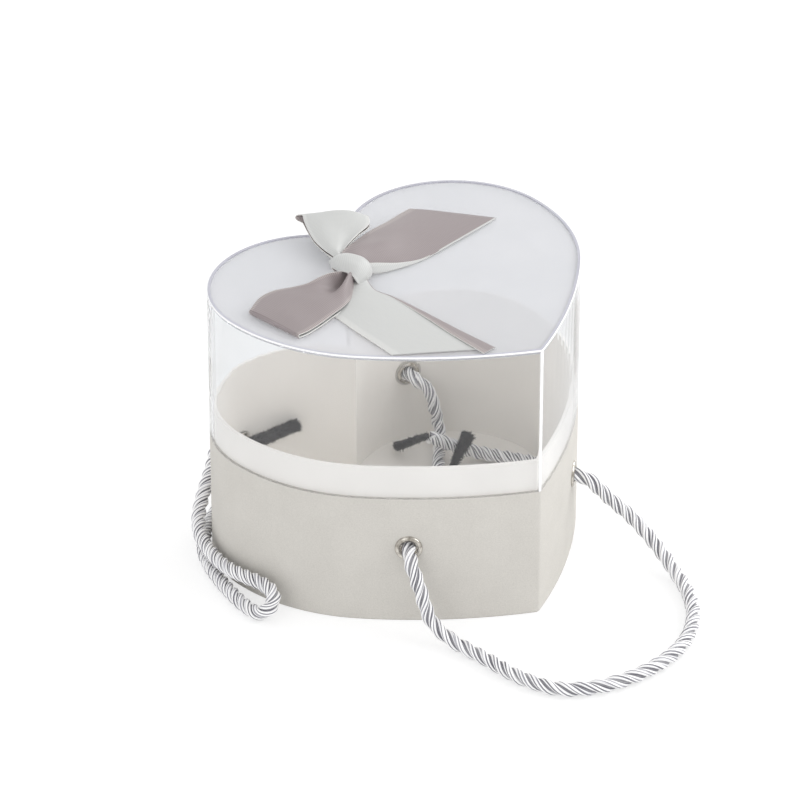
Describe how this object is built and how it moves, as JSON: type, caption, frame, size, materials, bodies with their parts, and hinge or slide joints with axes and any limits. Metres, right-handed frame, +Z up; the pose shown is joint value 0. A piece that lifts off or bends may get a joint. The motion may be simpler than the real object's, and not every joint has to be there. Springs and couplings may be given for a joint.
{
  "type": "heart gift box",
  "caption": "Heart-shaped gift box with a paper-wrapped base, a white inner collar, a clear lift-off lid carrying a ribbon bow, and rope handles through metal eyelets.",
  "frame": {"origin": "middle of the heart's footprint, on the surface that the box stands on", "axes": "+Z up; the heart's point is towards -Y, its cleft towards +Y and its lobes towards -X and +X"},
  "size_m": [0.219, 0.2863, 0.1655],
  "materials": {
    "board": "plain grey board",
    "wrap_paper": "warm light grey textured paper",
    "white_card": "smooth white card",
    "nickel": "polished nickel plate",
    "rope": "silver-white twisted satin cord",
    "toggle": "dark charcoal",
    "clear_plastic": "clear, glossy",
    "pad": "white foam pad",
    "ribbon": "double-face satin, taupe one side and pearl the other"
  },
  "bodies": {
    "base": {"base_board": "board", "shell_board": "board", "shell_wrap": "wrap_paper", "collar": "white_card", "floor_card": "white_card", "front_left_eyelet": "nickel", "front_right_eyelet": "nickel", "back_left_eyelet": "nickel", "back_right_eyelet": "nickel", "front_left_washer": "nickel", "front_right_washer": "nickel", "back_left_washer": "nickel", "back_right_washer": "nickel", "front_handle": "rope", "back_handle": "rope", "front_left_toggle": "toggle", "front_right_toggle": "toggle", "back_left_toggle": "toggle", "back_right_toggle": "toggle"},
    "lid": {"lid_wall": "clear_plastic", "lid_panel": "clear_plastic", "bow_pad": "pad", "bow_knot": "ribbon", "bow_front_loop": "ribbon", "bow_back_loop": "ribbon", "bow_right_tail": "ribbon", "bow_front_tail": "ribbon"}
  },
  "joints": [
    {"name": "lid_lift", "type": "slide", "parent": "base", "child": "lid", "axis": [0, 0, 1], "range_m": [0, 0.18]}
  ]
}
